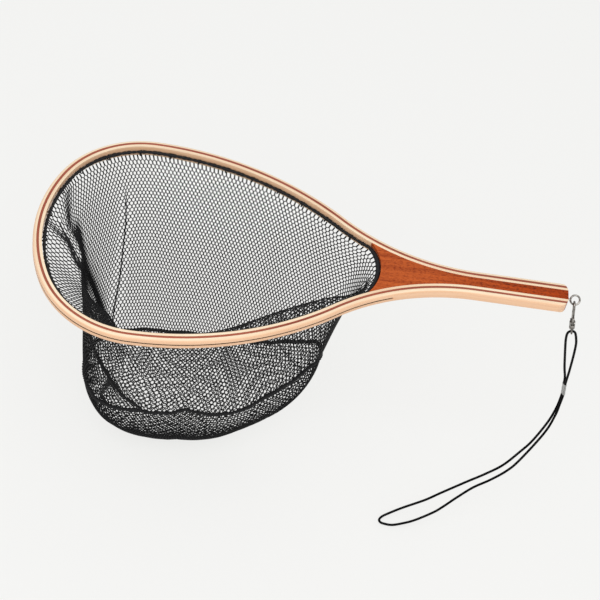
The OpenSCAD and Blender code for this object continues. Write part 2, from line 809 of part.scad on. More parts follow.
// A short coil on the pin, beside the gate's knuckle
module gate_spring() {
    steps = 12;
    from = spring_end_gap;
    to = ear_x - spring_end_gap;
    count = round(spring_turns * steps);
    color(steel)
        hang()
            tube(
                [for (i = [0 : count]) let (a = 360 * i / steps)
                    [mix(from, to, i / count), -hook_r + spring_r * cos(a), pivot_z + spring_r * sin(a)]],
                [1, 0, 0], spring_wire / 2, spring_sides
            );
}

module swivel_eye() {
    color(nickel)
        hang() {
            translate([0, 0, head_z])
                cylinder(r = stem_head_r, h = head_t);
            translate([0, 0, swivel_z + swivel_r])
                cylinder(r = stem_r, h = head_z - swivel_z - swivel_r + head_t / 2);
            translate([0, 0, swivel_z])
                rotate([0, 90, 0])
                    rotate_extrude()
                        translate([swivel_r, 0])
                            circle(r = swivel_wire_r);
        }
}

module lanyard_small_loop() {
    color(black)
        tube(smooth_route(small_loop_route, 2), small_loop_normal, cord_r, cord_sides);
}

// A crimped sleeve over the four cord ends
module lanyard_ferrule() {
    sleeve_r = cord_r + ferrule_wall;
    color(steel)
        translate(ferrule_at)
            linear_extrude(height = ferrule_length) {
                square([2 * sleeve_r, 2 * strand_y], center = true);
                for (y = [-strand_y, strand_y])
                    translate([0, y])
                        circle(r = sleeve_r);
            }
}

module lanyard_wrist_loop() {
    color(black)
        tube(smooth_route(wrist_loop_route, 2), wrist_loop_normal, cord_r, cord_sides);
}

handle_core();
inner_strip();
middle_strip();
outer_strip();
lacing_cord();
lacing_stitches();
head_rope();
bag_side_netting();
bag_bottom_netting();
bag_bottom_seam();
bag_side_seam();
screw_eye();
clasp_hook();
clasp_gate();
gate_pin();
gate_spring();
swivel_eye();
lanyard_small_loop();
lanyard_ferrule();
lanyard_wrist_loop();
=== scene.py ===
import math

import bpy
import numpy as np
from mathutils import Matrix


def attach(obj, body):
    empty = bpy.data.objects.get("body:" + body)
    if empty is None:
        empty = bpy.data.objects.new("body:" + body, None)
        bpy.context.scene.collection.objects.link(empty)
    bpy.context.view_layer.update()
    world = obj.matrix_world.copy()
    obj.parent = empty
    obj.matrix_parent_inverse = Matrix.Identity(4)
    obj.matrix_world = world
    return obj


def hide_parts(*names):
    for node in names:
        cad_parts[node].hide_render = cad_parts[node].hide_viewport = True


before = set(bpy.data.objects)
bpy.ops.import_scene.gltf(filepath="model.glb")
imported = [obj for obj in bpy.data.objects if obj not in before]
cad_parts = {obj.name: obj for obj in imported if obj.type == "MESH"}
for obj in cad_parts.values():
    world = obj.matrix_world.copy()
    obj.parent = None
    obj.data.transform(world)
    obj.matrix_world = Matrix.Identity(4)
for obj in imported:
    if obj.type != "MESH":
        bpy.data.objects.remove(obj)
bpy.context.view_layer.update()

# The camera stands high over the near side with a long lens, looks down into the hoop,
# and is rolled a little, so that the handle runs down to the right.
azimuth, elevation, roll = (math.radians(a) for a in (-5.4, 52.0, 12.2))
camera_place = np.array([-0.36636, -1.2804, 1.5757])
backward = np.array(
    [math.sin(azimuth) * math.cos(elevation), -math.cos(azimuth) * math.cos(elevation), math.sin(elevation)]
)
level = np.array([math.cos(azimuth), math.sin(azimuth), 0.0])
upright = np.cross(backward, level)
rightward = math.cos(roll) * level + math.sin(roll) * upright
upward = math.cos(roll) * upright - math.sin(roll) * level
camera = bpy.data.objects.new("camera", bpy.data.cameras.new("camera"))
camera.data.sensor_width = 36
camera.data.lens = 108
camera.data.clip_end = 20
camera.matrix_world = Matrix(
    [[*row] for row in np.column_stack([rightward, upward, backward, camera_place])] + [[0, 0, 0, 1]]
)
bpy.context.scene.collection.objects.link(camera)
bpy.context.scene.camera = camera
bpy.context.scene.view_settings.view_transform = "Standard"

# The lanyard is one thin braided cord, folded into two loops that meet in a crimped sleeve: a small loop
# through the swivel's eye and a long one for the wrist. The cord is black, round and nearly matt.
MM = 0.001
TURN = 2 * math.pi
cord_d, cord_steps = 3.0 * MM, 8
small_route = MM * np.array([
    (88.7, -2.5, -155.6), (86.7, -2.6, -144), (81.5, -2.8, -125), (74.8, -3.2, -96), (70, -3.6, -74),
    (68.4, -3.8, -64), (68.1, -3.8, -59.5), (68.6, -3.8, -56), (70.1, -3.8, -53.6), (72.4, -3.8, -52.6),
    (74.8, -3.8, -53.3), (76.8, -3.8, -55.6), (78.4, -3.8, -59.5), (80.2, -3.9, -65), (82.8, -4.2, -75.5),
    (85.3, -4.6, -96), (88.1, -5, -127), (89.2, -5.1, -143), (90.1, -5.1, -155.6),
])
wrist_route = MM * np.array([
    (91.9, -2.5, -177.6), (91.2, -6, -186), (89, -12.5, -196.5), (81.5, -26, -209), (66.5, -44, -227.5),
    (53.6, -54.8, -239.2), (35.8, -67.6, -254), (16, -76.4, -265.9), (-4.3, -83.4, -277.7),
    (-32.2, -93.6, -293.8), (-50.9, -100.8, -304.5), (-75.8, -107.5, -317.9), (-92, -112.8, -327),
    (-99.2, -115.6, -331.6), (-102.2, -118.4, -334.4), (-101.6, -121.4, -335), (-97.4, -123.5, -335),
    (-86.4, -124.5, -334.2), (-73.1, -122.8, -329.5), (-59.2, -119.2, -324.2), (-39.1, -112.7, -311.7),
    (-28.2, -107.1, -304.3), (-13.3, -97.8, -294), (4.4, -88.1, -281.6), (22.8, -82.4, -268.5),
    (40.8, -74.3, -255.5), (55, -62.4, -245.2), (79, -37, -218), (88.5, -21, -201), (91.6, -11.5, -189),
    (93.3, -5.1, -177.6),
])


def unit(v):
    """Vectors divided by their lengths."""
    return v / np.linalg.norm(v, axis=-1, keepdims=True)


def smoothed(route, steps):
    """A curve through every point of a route: between b and c, with a before and d after, and t from 0 to 1,
    it is half of 2b + (c - a)t + (2a - 5b + 4c - d)t^2 + (3b - a - 3c + d)t^3."""
    ends = np.vstack([route[:1], route, route[-1:]])
    a, b, c, d = ends[:-3], ends[1:-2], ends[2:-1], ends[3:]
    t = (np.arange(steps) / steps)[:, None, None]
    curve = (2 * b + (c - a) * t + (2 * a - 5 * b + 4 * c - d) * t**2 + (3 * b - a - 3 * c + d) * t**3) / 2
    return np.vstack([curve.transpose(1, 0, 2).reshape(-1, 3), route[-1:]])


def distance_along(path):
    """How far each point lies along its path: the sum of the steps before it."""
    return np.concatenate([[0], np.cumsum(np.linalg.norm(np.diff(path, axis=0), axis=1))])


def spokes(angle):
    """Unit directions of angles, as [cos, sin]."""
    return np.stack([np.cos(angle), np.sin(angle)], axis=-1)


def full_turn(sides):
    """Angles evenly spaced round one turn."""
    return np.linspace(0, TURN, sides, endpoint=False)


def carried(path, normal, profile, ring=False):
    """A profile of [across, up] carried along a path: point + across * side + up * rise, where side is square
    to the path and to normal, and rise is square to both. The profile may differ from point to point."""
    if ring:
        along = unit(np.roll(path, -1, axis=0) - np.roll(path, 1, axis=0))
    else:
        along = unit(np.gradient(path, axis=0))
    side = unit(np.cross(along, normal))
    rise = np.cross(side, along)
    profile = np.broadcast_to(profile, (len(path), *np.shape(profile)[-2:]))
    return path[:, None] + profile[..., :1] * side[:, None] + profile[..., 1:] * rise[:, None]


def tube_faces(index):
    """Quads between the neighbouring points of tubes, numbered [along, around] and closed round each tube."""
    wrapped = np.concatenate([index, index[..., :1]], axis=-1)
    corners = [wrapped[..., :-1, :-1], wrapped[..., 1:, :-1], wrapped[..., 1:, 1:], wrapped[..., :-1, 1:]]
    return np.stack(corners, axis=-1).reshape(-1, 4).tolist()


def skin(name, grid, ring=False, sharp=None, **marks):
    """A closed mesh over a grid of points [along, around]: quads between neighbours, closed round the
    profile, and either joined end to start or closed at each end, by quads from the profile's first half to
    the points facing them in its second. Marks are stored as attributes."""
    rows, sides = grid.shape[:2]
    index = np.arange(rows * sides).reshape(rows, sides)
    if ring:
        faces = tube_faces(np.vstack([index, index[:1]]))
    else:
        faces = tube_faces(index)
        for rim in (index[0], index[-1, ::-1]):
            there, back = rim[: sides // 2], rim[::-1][: sides // 2]
            faces += np.column_stack([there[:-1], there[1:], back[1:], back[:-1]]).tolist()
    return piece(name, grid.reshape(-1, 3), faces, sharp, **marks)


def piece(name, points, faces, sharp=None, **marks):
    """An object of these points and faces, smooth except along edges sharper than an angle in degrees."""
    mesh = bpy.data.meshes.new(name)
    mesh.from_pydata(points.tolist(), [], faces)
    mesh.shade_smooth()
    if sharp:
        mesh.set_sharp_from_angle(angle=math.radians(sharp))
    for mark, values in marks.items():
        layer = mesh.attributes.new(mark, "FLOAT_VECTOR", "POINT")
        layer.data.foreach_set("vector", np.asarray(values, np.float32).ravel())
    made = bpy.data.objects.new(name, mesh)
    bpy.context.scene.collection.objects.link(made)
    return made


class Wire:
    """One socket of a finish's nodes. Arithmetic on wires adds Math nodes, and node() adds any other node."""

    def __init__(self, tree, socket=None):
        self.tree = tree
        self.socket = socket

    def node(self, kind, settings=None, inputs=None, out=0):
        """A node of a kind: its settings first, and then its inputs' values or wires."""
        made = self.tree.nodes.new("ShaderNode" + kind)
        for key, value in (settings or {}).items():
            setattr(made, key, value)
        for key, value in (inputs or {}).items():
            if isinstance(value, Wire):
                self.tree.links.new(value.socket, made.inputs[key])
            else:
                made.inputs[key].default_value = value
        return Wire(self.tree, made.outputs[out])

    def math(self, operation, a, b=0.0):
        return self.node("Math", {"operation": operation}, {0: a, 1: b})

    def __add__(self, other):
        return self.math("ADD", self, other)

    def __sub__(self, other):
        return self.math("SUBTRACT", self, other)

    def __rsub__(self, other):
        return self.math("SUBTRACT", other, self)

    def __mul__(self, other):
        return self.math("MULTIPLY", self, other)

    __radd__ = __add__
    __rmul__ = __mul__

    def sine(self):
        return self.math("SINE", self)

    def part(self, which):
        """One of a vector's three parts."""
        return self.node("SeparateXYZ", None, {0: self}, which)

    def scaled(self, *factors):
        """A vector with each of its parts multiplied."""
        return self.node("VectorMath", {"operation": "MULTIPLY"}, {0: self, 1: factors})

    def noise(self, scale, detail, rough):
        inputs = {"Vector": self, "Scale": scale, "Detail": detail, "Roughness": rough}
        return self.node("TexNoise", None, inputs)

    def between(self, low, high):
        """0 below low and 1 above high, with a smooth step between."""
        inputs = {"Value": self, "From Min": low, "From Max": high}
        return self.node("MapRange", {"interpolation_type": "SMOOTHSTEP"}, inputs)

    def blend(self, first, second):
        """The first colour where the wire is 0 and the second where it is 1."""
        return self.node("Mix", {"data_type": "RGBA"}, {0: self, 6: first, 7: second}, 2)


def tone(red, green, blue):
    """A colour as a screen shows it, 0 to 255, as linear light."""
    shown = np.array([red, green, blue]) / 255
    linear = np.where(shown < 0.04045, shown / 12.92, ((shown + 0.055) / 1.055) ** 2.4)
    return (*linear.tolist(), 1.0)


def finish(name, mark=None, **plain):
    """A new finish with its shader's plain values set, and the wire of its coordinates: a stored mark or
    Object."""
    made = bpy.data.materials.new(name)
    made.use_nodes = True
    shader = made.node_tree.nodes["Principled BSDF"]
    for socket, value in plain.items():
        shader.inputs[socket.replace("_", " ")].default_value = value
    start = Wire(made.node_tree)
    if mark:
        return made, start.node("Attribute", {"attribute_name": mark}, None, "Vector")
    return made, start.node("TexCoord", None, None, "Object")


def feed(made, bump, depth, **wires):
    """Links wires to the shader's sockets, and a height to its normal through a Bump node."""
    tree = made.node_tree
    shader = tree.nodes["Principled BSDF"]
    for socket, wire in wires.items():
        tree.links.new(wire.socket, shader.inputs[socket.replace("_", " ")])
    normal = bump.node("Bump", None, {"Height": bump, "Distance": depth, "Strength": 1.0})
    tree.links.new(normal.socket, shader.inputs["Normal"])


black_cord, lay = finish("black_braid", "lay", Specular_IOR_Level=0.06)
braid_rate, braid_strands = 2400, 4
braid_along = lay.part(0) * braid_rate
braid_around = lay.part(1).math("ARCTAN2", lay.part(2), lay.part(1)) * braid_strands
weave = (braid_along + braid_around).sine() * (braid_along - braid_around).sine() * 0.5 + 0.5
feed(
    black_cord,
    bump=weave,
    depth=0.15 * MM,
    Base_Color=weave.blend(tone(2, 2, 3), tone(8, 8, 9)),
    Roughness=weave * 0.2 + 0.38,
)


def braided(name, path, normal, diameter, sides=12):
    """A round cord along a path, marked with its distance along and its turn as [along, cos, sin]."""
    circle = spokes(full_turn(sides))
    along = np.broadcast_to(distance_along(path)[:, None, None], (len(path), sides, 1))
    lay_of = np.concatenate([along, np.broadcast_to(circle, (len(path), sides, 2))], axis=2)
    made = skin(name, carried(path, np.array(normal), diameter / 2 * circle), lay=lay_of)
    made.data.materials.append(black_cord)
    return made


# Each loop: its name, its route, the direction that it lies flat to, and the plain solid that it stands for
loops = (
    ("lanyard_small_cord", small_route, (0, 1, 0), "lanyard_small_loop"),
    ("lanyard_wrist_cord", wrist_route, (0.15, 0.58, -0.8), "lanyard_wrist_loop"),
)
for name, route, flat_to, solid in loops:
    path = smoothed(route, cord_steps)
    loop = braided(name, path, flat_to, cord_d)
    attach(loop, "swivel")
    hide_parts(solid)

# The frame is three long strips, glued face to face while bent round a form: pale inside, red in the middle,
# pale outside. Each runs from the butt up one side, round the hoop and back. All are clear lacquered.
half_thick = 7.5 * MM
inner_face, outer_face = 4.65 * MM, 5.45 * MM
handle_half = 16.5 * MM
butt_x, neck_x, butt_corner = 53 * MM, -53 * MM, 11 * MM
grip_y = handle_half - outer_face
side_r, neck_r, tip_extra, spread = 368 * MM, 263 * MM, 63 * MM, 27.3 * MM
head_r = 143.5 * MM - outer_face
side_turn = math.acos((grip_y + neck_r + side_r - head_r) / (side_r + neck_r))
hoop_x = neck_x - (side_r + neck_r) * math.sin(side_turn)
tip_turn = math.asin(spread / tip_extra)
tip_x = hoop_x + tip_extra * math.cos(tip_turn)
shoulder_r = head_r - spread
tip_r = shoulder_r + tip_extra
quarter_turn = TURN / 4
# Each bend of the far half, from the tip: its centre, radius, first angle, turn, and the side it bulges to
bends = (
    ((tip_x, 0), tip_r, TURN / 2, -tip_turn, 1),
    ((hoop_x, spread), shoulder_r, TURN / 2 - tip_turn, tip_turn - quarter_turn, 1),
    ((hoop_x, head_r - side_r), side_r, quarter_turn, -side_turn, 1),
    ((neck_x, grip_y + neck_r), neck_r, 3 * quarter_turn - side_turn, side_turn, -1),
)
bend_lengths = [radius * abs(turn) for _, radius, _, turn, _ in bends]
half_hoop = sum(bend_lengths)
half_frame = half_hoop + butt_x - neck_x


def frame_line(s):
    """Points and outward normals of the middle strip's centre line at distances s from the tip, far side
    positive: on a bend, centre + radius * [cos, sin] of first angle + turn * share; then straight on to the
    butt."""
    along = np.abs(s)
    straight = neck_x + np.maximum(along - half_hoop, 0)
    points = np.column_stack([straight, np.full_like(along, grip_y)])
    normals = np.zeros_like(points) + [0.0, 1.0]
    start = 0.0
    for (centre, radius, first, turn, bulge), length in zip(bends, bend_lengths):
        on = (along >= start) & (along < start + length)
        spoke = spokes(first + turn * (along[on] - start) / length)
        points[on] = np.array(centre) + radius * spoke
        normals[on] = bulge * spoke
        start += length
    mirror = np.where(s < 0, -1.0, 1.0)
    points[:, 1] *= mirror
    normals[:, 1] *= mirror
    return points, normals


def butt_at(y):
    """Where the butt ends at y from the handle's middle: straight across, with quarter circles as corners."""
    out = np.clip(np.abs(y) - (handle_half - butt_corner), 0, butt_corner)
    return butt_x - butt_corner + np.sqrt(butt_corner**2 - out**2)


def strip_grid(s, profile):
    """A section of [offset outwards, height] carried along the frame: centre line + offset * normal. Along
    the grip each offset is drawn out to where the butt ends. Also gives the grain's coordinates, as
    [along, offset, height]."""
    points, normals = frame_line(s)
    profile = np.broadcast_to(profile, (len(s), *np.shape(profile)[-2:]))
    offset, height = profile[..., 0], profile[..., 1]
    flat = points[:, None] + offset[..., None] * normals[:, None]
    share = np.clip((flat[..., 0] - neck_x) / (butt_x - neck_x), 0, 1)
    on_grip = np.abs(s)[:, None] > half_hoop
    flat[..., 0] = np.where(on_grip, neck_x + share * (butt_at(grip_y + offset) - neck_x), flat[..., 0])
    grid = np.concatenate([flat, height[..., None]], axis=2)
    grain = np.stack([np.broadcast_to(s[:, None], offset.shape), offset, height], axis=2)
    return grid, grain


grain_depth = 0.04 * MM


def wood(name, face, edge, dark, streaks):
    """Straight-grained wood under clear lacquer: long streaks, slow shifts of colour, and fine dark pores.
    The grain runs along the first of its coordinates. The third is the height: the top and bottom faces take
    the edge tone, lighter as painted light, and the sides the face tone, darker and warmer as painted shade."""
    made, along = finish(name, "grain", Coat_Weight=0.1, Coat_Roughness=0.12, Specular_IOR_Level=0.3)
    height = along.part(2)
    # Painted light and shade: the top and bottom faces get the lighter edge tone, the sides the darker,
    # warmer face tone
    painted_light_top_bottom = height.math("ABSOLUTE", height).between(0.75 * half_thick, 0.98 * half_thick)
    fibre = along.scaled(9, 420, 420).noise(1.0, 5, 0.65)
    slow = along.scaled(5, 60, 60).noise(1.0, 2, 0.5)
    pores = along.scaled(70, 1900, 1900).noise(1.0, 2, 0.5).between(0.6, 0.72)
    figure = fibre.between(0.3, 0.72) * streaks + slow.between(0.3, 0.7) * (0.45 * streaks) + pores * 0.12
    feed(
        made,
        bump=figure * -1.0,
        depth=grain_depth,
        Base_Color=figure.blend(painted_light_top_bottom.blend(face, edge), dark),
        Roughness=fibre * 0.16 + 0.26,
    )
    return made


# Tones: sides (darker and warmer, painted shade), top and bottom faces (lighter, painted light), then the
# grain's dark
pale_wood = wood("pale_lacquered_wood", tone(252, 208, 170), tone(254, 238, 208), tone(224, 172, 128), 0.42)
red_wood = wood("red_stained_wood", tone(176, 88, 62), tone(180, 94, 68), tone(120, 48, 30), 0.6)


def boxed(low, high, ease, steps=3):
    """A section with eased edges: a rectangle of offsets low to high over the frame's thickness, with each
    corner a quarter circle of radius ease."""
    corner = ease * spokes(np.linspace(0, quarter_turn, steps + 1))
    turned_corner = corner @ np.array([[0, 1], [-1, 0]])
    far, near, top = high - ease, low + ease, half_thick - ease
    return np.vstack([
        corner + [far, top], turned_corner + [near, top], -corner + [near, -top], -turned_corner + [far, -top]
    ])


def strip(name, profile, sharp, colour):
    """One strip of the frame: its section carried along it, in its wood, in place of its plain solid."""
    grid, grain = strip_grid(sections, profile)
    made = skin(name + "_lamination", grid, sharp=sharp, grain=grain)
    made.data.materials.append(colour)
    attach(made, "frame")
    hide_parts(name + "_strip")


sections = np.linspace(-half_frame, half_frame, 480)
strip_ease = 0.15 * MM
strip("inner", boxed(-inner_face, -1.45 * MM, strip_ease), 50, pale_wood)
strip("middle", boxed(-1.4 * MM, 1.4 * MM, strip_ease), 50, red_wood)

# The outer strip has well rounded edges and a groove along its middle, cut round the hoop only,
# that takes the lacing cord.
outer_back, edge_r, groove_w, groove_stop = 1.45 * MM, 3.4 * MM, 2.3 * MM, 94 * MM
groove_end = half_hoop - neck_r * math.asin(groove_stop / neck_r)
groove_runout, groove_least, groove_lip = 4 * MM, 0.01, 0.1 * MM
groove_depth = groove_w * np.clip((groove_end - np.abs(sections)) / groove_runout, groove_least, 1)
edge = [outer_face - edge_r, half_thick - edge_r] + edge_r * spokes(np.linspace(0, quarter_turn, 7))
upper = np.vstack([[[outer_face, groove_w / 2 + groove_lip]], edge, [[outer_back, half_thick]]])
groove = [(outer_face, side * groove_w / 2) for side in (-1, -1, 1, 1)]
outer_profile = np.vstack([upper, upper[::-1] * [1, -1], groove])
outer_profile = np.repeat(outer_profile[None], len(sections), axis=0)
outer_profile[:, -3:-1, 0] -= groove_depth[:, None]
strip("outer", outer_profile, 40, pale_wood)

# The handle's core is one wedge of orange-brown hardwood between the two necks, hollowed at its front
# to finish the bag's mouth. Its figure runs along the handle, and it is sanded flush and lacquered.
core_gap = inner_face + 0.05 * MM
throat_r, throat_x = 58 * MM, -163 * MM
throat_cx = throat_x - throat_r


def core_half(x):
    """Half the core's width at x: the neck's bend ahead of the grip, and level along the grip."""
    ahead = np.minimum(x - neck_x, 0)
    return grip_y + neck_r - np.sqrt((neck_r + core_gap) ** 2 - ahead**2)


core_rows, core_columns, settling_rounds = 90, 41, 60
across = np.linspace(-1, 1, core_columns)
front = np.full_like(across, throat_x)
# Each front point settles where the core's width at it meets the hollow's circle
for _ in range(settling_rounds):
    on_circle = throat_cx + np.sqrt(np.maximum(throat_r**2 - (across * core_half(front)) ** 2, 0))
    front = (front + on_circle) / 2
rear = butt_at(across * core_half(butt_x))
core_x = front + (rear - front) * np.linspace(0, 1, core_rows)[:, None]
core_top = np.stack([core_x, across * core_half(core_x), np.full_like(core_x, half_thick)], axis=2)
core_grid = np.concatenate([core_top, (core_top * [1, 1, -1])[:, ::-1]], axis=1)
handle_core = skin("handle_core_wedge", core_grid, sharp=40)
core_wood, place = finish(
    "orange_brown_hardwood", Coat_Weight=0.04, Coat_Roughness=0.1, Specular_IOR_Level=0.1
)
drift = place.scaled(14, 60, 60).noise(1.0, 2, 0.5)
sideways = drift.node("CombineXYZ", None, {1: drift * 0.012, 2: drift * 0.006})
bent = place.node("VectorMath", {"operation": "ADD"}, {0: place, 1: sideways})
fibre = bent.scaled(16, 520, 420).noise(1.0, 5, 0.65)
growth = bent.scaled(5, 150, 90).noise(1.0, 2, 0.45).between(0.32, 0.68)
fleck = place.scaled(260, 520, 520).noise(1.0, 3, 0.7).between(0.47, 0.63)
figure = fibre.between(0.32, 0.7) * 0.3 + growth * 0.3 + fleck * 0.42
toward_butt = place.part(0).between(-0.15, 0.06)
light_tone = toward_butt.blend(tone(202, 98, 44), tone(194, 74, 16))
dark_tone = toward_butt.blend(tone(128, 44, 14), tone(76, 20, 4))
feed(
    core_wood,
    bump=figure * -1.0,
    depth=grain_depth,
    Base_Color=figure.blend(light_tone, dark_tone),
    Roughness=fibre * 0.18 + 0.26,
)
handle_core.data.materials.append(core_wood)
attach(handle_core, "frame")
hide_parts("handle_core")

# The lacing is a thin black cord that lies in the outer groove and goes in and out through holes in the wood.
# Inside, each stitch takes a turn round the head rope and so hangs the bag on the hoop.
lacing_d = 2 * MM
lacing_u, lacing_end = outer_face - groove_w / 2, groove_end - 2 * MM
points, normals = frame_line(np.linspace(-lacing_end, lacing_end, 420))
lacing_path = np.column_stack([points + lacing_u * normals, np.zeros(len(points))])
lacing = braided("lacing_in_groove", lacing_path, (0, 0, 1), lacing_d, 8)
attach(lacing, "frame")
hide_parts("lacing_cord")

# The stitches are evenly spaced on each bend. Each goes from the groove through its hole and once round the
# head rope, drifting along the hoop as it turns. They are of the same black thread as the netting.
hole_pitch, last_hole_x = 32 * MM, -177.9 * MM
rope_in, rope_z, rope_r = 7.45 * MM, -1 * MM, 2.5 * MM
stitch_r, stitch_loop_r, stitch_first_turn = 0.75 * MM, rope_r + 0.45 * MM, 0.5
stitch_sunk, hole_middle, hole_mouth = 0.3 * MM, -2 * MM, -4.4 * MM
drift_from, drift_to = -0.8 * MM, 1.6 * MM
bend_starts = np.concatenate([[0], np.cumsum(bend_lengths)])
last_hole = half_hoop - neck_r * math.asin((neck_x - last_hole_x) / neck_r)


def spaced(low, high, count):
    """The middles of a span's equal parts."""
    return low + (high - low) * (np.arange(count) + 0.5) / count


spans = zip(bend_starts[1:4], [*bend_starts[2:4], last_hole])
far_holes = np.concatenate([spaced(low, high, int((high - low) / hole_pitch)) for low, high in spans])
tip_holes = spaced(-bend_starts[1], bend_starts[1], 2 * int(bend_starts[1] / hole_pitch))
hole_points, hole_normals = frame_line(np.concatenate([-far_holes[::-1], tip_holes, far_holes]))
tangents = np.column_stack([-hole_normals[:, 1], hole_normals[:, 0]])
leads = [(out, 0.0) for out in (lacing_u - stitch_sunk, hole_middle, hole_mouth)]
wrap = [-rope_in, rope_z] + stitch_loop_r * spokes(full_turn(14) + stitch_first_turn)
stitch_route = np.vstack([leads, wrap])
stitch_drift = np.concatenate([np.zeros(len(leads)), np.linspace(drift_from, drift_to, len(wrap))])
stitch_plan = hole_points[:, None] + stitch_route[:, :1] * hole_normals[:, None]
stitch_plan += stitch_drift[:, None] * tangents[:, None]
stitch_heights = np.broadcast_to(stitch_route[:, 1:], (*stitch_plan.shape[:2], 1))
stitch_paths = np.concatenate([stitch_plan, stitch_heights], axis=2)
stitch_normals = np.broadcast_to(np.pad(tangents, ((0, 0), (0, 1)))[:, None], stitch_paths.shape)


def strands(name, paths, normals, profile):
    """Many threads in one mesh: each path [thread, along] gets the profile set on its own side and normal,
    with quads between its rings and a face at each end."""
    along = unit(np.gradient(paths, axis=1))
    side = unit(np.cross(along, normals))
    rise = np.cross(side, along)
    grid = paths[:, :, None] + profile[:, :1] * side[:, :, None] + profile[:, 1:] * rise[:, :, None]
    index = np.arange(grid[..., 0].size).reshape(grid.shape[:3])
    faces = tube_faces(index) + index[:, 0].tolist() + index[:, -1, ::-1].tolist()
    return piece(name, grid.reshape(-1, 3), faces)


stitches = strands("lacing_stitch_loops", stitch_paths, stitch_normals, stitch_r * spokes(full_turn(6)))
black_thread, place = finish("black_netting_thread", Specular_IOR_Level=0.25)
fuzz = place.noise(900, 2, 0.6)
feed(
    black_thread,
    bump=fuzz,
    depth=0.1 * MM,
    Base_Color=fuzz.between(0.3, 0.7).blend(tone(9, 9, 10), tone(27, 27, 29)),
    Roughness=fuzz * 0.25 + 0.5,
)
stitches.data.materials.append(black_thread)
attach(stitches, "frame")
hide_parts("lacing_stitches")

# The head rope is the bag's hem: netting rolled over a soft rope and sewn, so it is black, lumpy and matt.
# It follows the hoop's inside all the way round, with a smooth stretch across the throat.
rope_count, rope_sides = 900, 12
hem_up, throat_up = 1.8 * MM, 2.4 * MM
throat_half, throat_bulk = 0.03, 1.1
least_bulk, lump_bulk, wave_bulk = 0.62, 0.24, 0.14
lump_count, wave_counts = 170, (37, 23)


def mouth_line(inset, count):
    """The mouth's outline set in from the middle strip, as points evenly spaced from the tip along the far
    side, across the hollow throat and back: the frame's line, and a circle about the throat's centre."""
    hollow_r = throat_r - (inset - inner_face)
    points, normals = frame_line(np.linspace(0, half_hoop, 1200))
    side = points - inset * normals
    side = side[: np.flatnonzero(np.hypot(side[:, 0] - throat_cx, side[:, 1]) < hollow_r)[-1] + 1]
    last = math.atan2(side[-1, 1], side[-1, 0] - throat_cx)
    hollow = [throat_cx, 0] + hollow_r * spokes(np.linspace(last, 0, 200)[1:])
    far = np.vstack([side, hollow])
    whole = np.vstack([far, (far * [1, -1])[-2:0:-1], far[:1]])
    on = distance_along(whole)
    even = np.linspace(0, on[-1], count, endpoint=False)
    return np.column_stack([np.interp(even, on, whole[:, 0]), np.interp(even, on, whole[:, 1])])


at, turn = np.arange(rope_count) / rope_count, full_turn(rope_sides)
at_throat = np.exp(-(((at - 0.5) / throat_half) ** 4))
lumps = 0.5 + 0.5 * np.sin(TURN * lump_count * at[:, None] + 2 * turn)
waves = np.sin(TURN * wave_counts[0] * at + 1.3) * np.sin(TURN * wave_counts[1] * at)
lumpy = least_bulk + lump_bulk * lumps + wave_bulk * waves[:, None]
bulk = rope_r * (lumpy + at_throat[:, None] * (throat_bulk - lumpy))
rope_path = np.column_stack([mouth_line(rope_in, rope_count), rope_z + hem_up + throat_up * at_throat])
rope_grid = carried(rope_path, np.array([0, 0, 1.0]), bulk[..., None] * spokes(turn), ring=True)
head_rope = skin("head_rope_hem", rope_grid, ring=True)
head_rope.data.materials.append(black_thread)
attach(head_rope, "frame")
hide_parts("head_rope")

# The bag's wall is knotless black netting with six-sided holes. It hangs from the head rope and draws in to
# the narrower bottom seam, so it slopes, sags and gathers in folds. It is made in three stretches.
bag_in, bag_top, seam_depth, seam_up = 7.45 * MM, -4.1 * MM, -223.5 * MM, 77 * MM
mouth_tip, mouth_end = tip_x - tip_r + bag_in, throat_x - (bag_in - inner_face)
seam_tip, seam_length, seam_width, lean = mouth_tip + 54 * MM, 279 * MM, 126 * MM, 20 * MM
seam_scale = (seam_length / (mouth_end - mouth_tip), seam_width / (2 * (head_r - bag_in)))
mouth_count = 2400
mouth_plan = mouth_line(bag_in, mouth_count)
mouth_ring = np.vstack([mouth_plan, mouth_plan[:1]])
mouth_length = distance_along(mouth_ring)[-1]
wall_height, wall_thread_r = 0.235, 0.68 * MM
row_power = 1.25


def eased(a, b, blend):
    """The smaller of two values, with a round corner where they meet: half of a + b - root of
    (a - b)^2 + blend^2."""
    return (a + b - np.sqrt((a - b) ** 2 + blend**2)) / 2


ledge_at, ledge_flat, ledge_end = 0.945, 0.065, 0.125
ledge_run, ledge_in, ledge_in_ease = 3.6, 0.8, 0.07
ledge_drop, ledge_hang, ledge_drop_ease = 0.5, 0.14, 0.04
# How far the pull of the netting lifts the bottom seam, in millimetres, at shares of the way round
foot_bumps = np.array([
    (0, 0), (0.12, -2), (0.17, -3), (0.2, -2), (0.23, 1.5), (0.26, 5), (0.32, 6), (0.35, 8), (0.38, 12),
    (0.41, 17), (0.44, 19), (0.47, 14), (0.5, 4), (0.54, 11), (0.57, 4), (0.62, 3), (0.65, -7), (0.695, -2),
    (0.712, 1), (0.745, 15), (0.77, 5), (0.83, 3), (0.86, -4.5), (0.9, -11), (0.95, -7), (1, 0),
]).T * [[1], [MM]]
# Ripples of the bottom seam: their height, how many go round, and where they start
foot_ripples = ((0.7 * MM, 17, 0.2), (0.49 * MM, 29, 0.45))


def ledge(at):
    """How much of the wall at a share of the way round lies in the ledge by the tip: 1 there, 0 elsewhere,
    and 3x^2 - 2x^3 of the share x between."""
    off = np.abs((at - ledge_at + 0.5) % 1.0 - 0.5)
    x = np.clip((ledge_end - off) / (ledge_end - ledge_flat), 0, 1)
    return x * x * (3 - 2 * x)


def foot_height(x):
    """The bottom seam's height under a point of the mouth: level by the tip, then climbing by a cube."""
    return seam_depth + seam_up * np.clip((x - hoop_x) / (mouth_end - hoop_x), 0, None) ** 3


